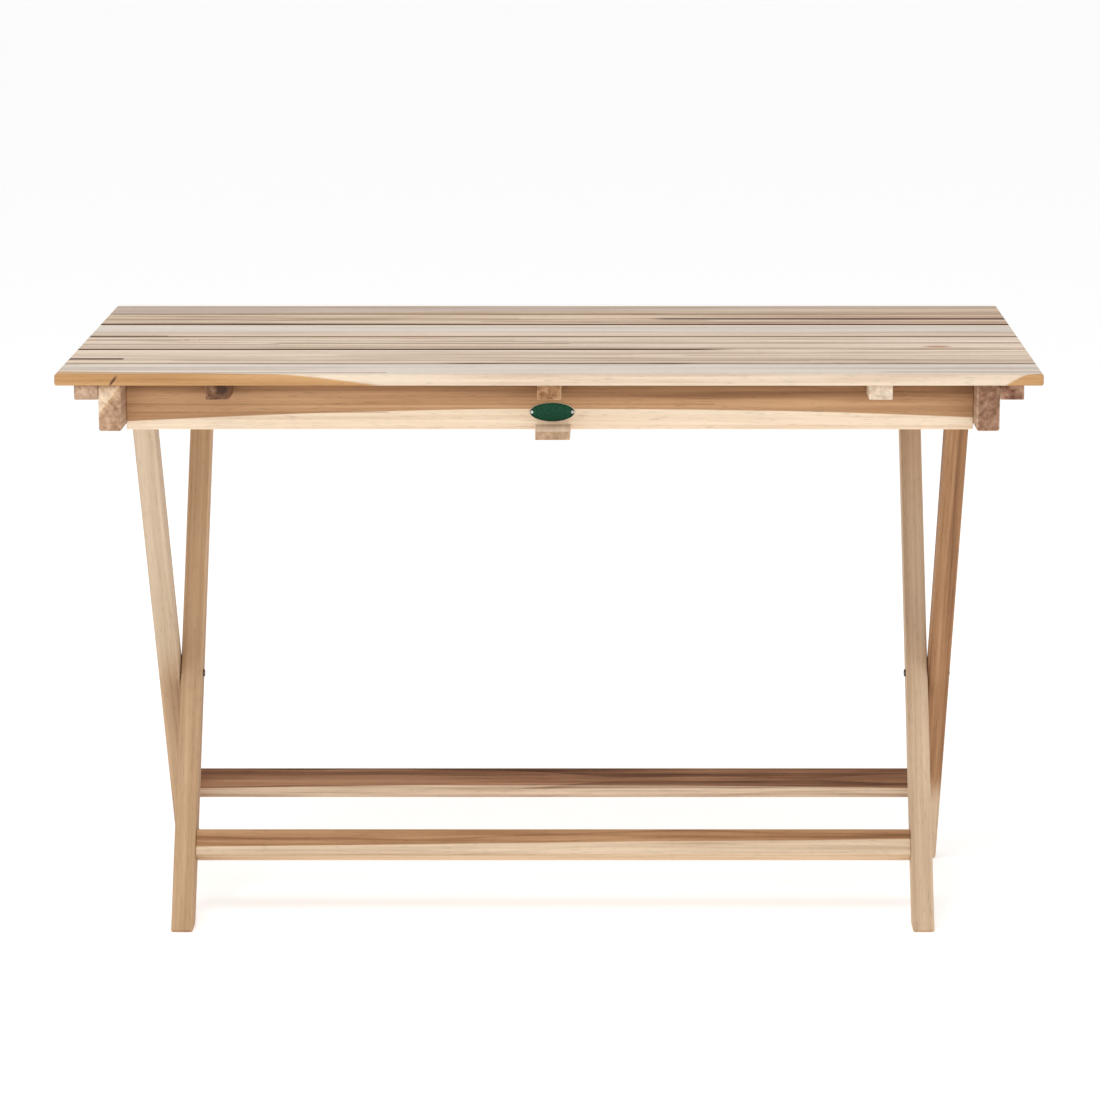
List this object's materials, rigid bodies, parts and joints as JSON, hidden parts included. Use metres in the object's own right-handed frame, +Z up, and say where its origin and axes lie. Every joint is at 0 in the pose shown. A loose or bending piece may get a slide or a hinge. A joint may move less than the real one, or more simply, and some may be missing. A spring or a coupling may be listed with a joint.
{
  "type": "folding picnic table",
  "caption": "Rectangular hardwood folding table: a lengthwise slatted top with aprons on crossed, bolted leg frames that close like scissors under it.",
  "frame": {"origin": "on the floor under the middle of the table top", "axes": "+X to the user's right along the top's length, +Y to the back, +Z up"},
  "size_m": [1.2, 0.6, 0.745],
  "materials": {
    "top_timber": "planed, lightly oiled, open grain",
    "frame_timber": "planed, lightly oiled, open grain",
    "dark_steel": "oxide-darkened",
    "bright_steel": "zinc-plated",
    "badge_enamel": "gloss green, blank"
  },
  "bodies": {
    "table_top": {"top_slat_1": "top_timber", "top_slat_2": "top_timber", "top_slat_3": "top_timber", "top_slat_4": "top_timber", "top_slat_5": "top_timber", "top_slat_6": "top_timber", "outer_batten_left": "frame_timber", "inner_batten_left": "frame_timber", "middle_batten": "frame_timber", "inner_batten_right": "frame_timber", "outer_batten_right": "frame_timber", "side_rail_left": "frame_timber", "side_rail_right": "frame_timber", "front_apron": "frame_timber", "rear_apron": "frame_timber", "guide_bar": "frame_timber", "badge_plate": "badge_enamel", "badge_screws": "bright_steel", "slat_screws": "bright_steel", "batten_screws": "bright_steel", "apron_screws": "bright_steel", "guide_bar_screws": "bright_steel", "top_pivot_bolts": "dark_steel", "top_pivot_nuts": "dark_steel", "top_pivot_washers": "dark_steel"},
    "outer_frame": {"outer_leg_left": "frame_timber", "outer_leg_right": "frame_timber", "rear_stretcher": "frame_timber", "rear_stretcher_screws": "bright_steel", "cross_pivot_bolts": "dark_steel", "cross_pivot_nuts": "dark_steel", "cross_pivot_washers": "dark_steel"},
    "inner_frame": {"inner_leg_left": "frame_timber", "inner_leg_right": "frame_timber", "front_stretcher": "frame_timber", "front_stretcher_dowels": "frame_timber", "slide_rod": "frame_timber", "slide_rod_pins": "bright_steel"}
  },
  "joints": [
    {"name": "fold", "type": "hinge", "parent": "table_top", "child": "outer_frame", "pos_m": [0, -0.21, 0.6987], "axis": [-1, 0, 0], "range_deg": [0, 29.3]},
    {"name": "scissor", "type": "hinge", "parent": "outer_frame", "child": "inner_frame", "pos_m": [0, 0.02, 0.297], "axis": [1, 0, 0], "range_deg": [0, 58.6]}
  ],
  "couplings": [
    {"joint": "scissor", "follows": "fold", "ratio": 2}
  ]
}
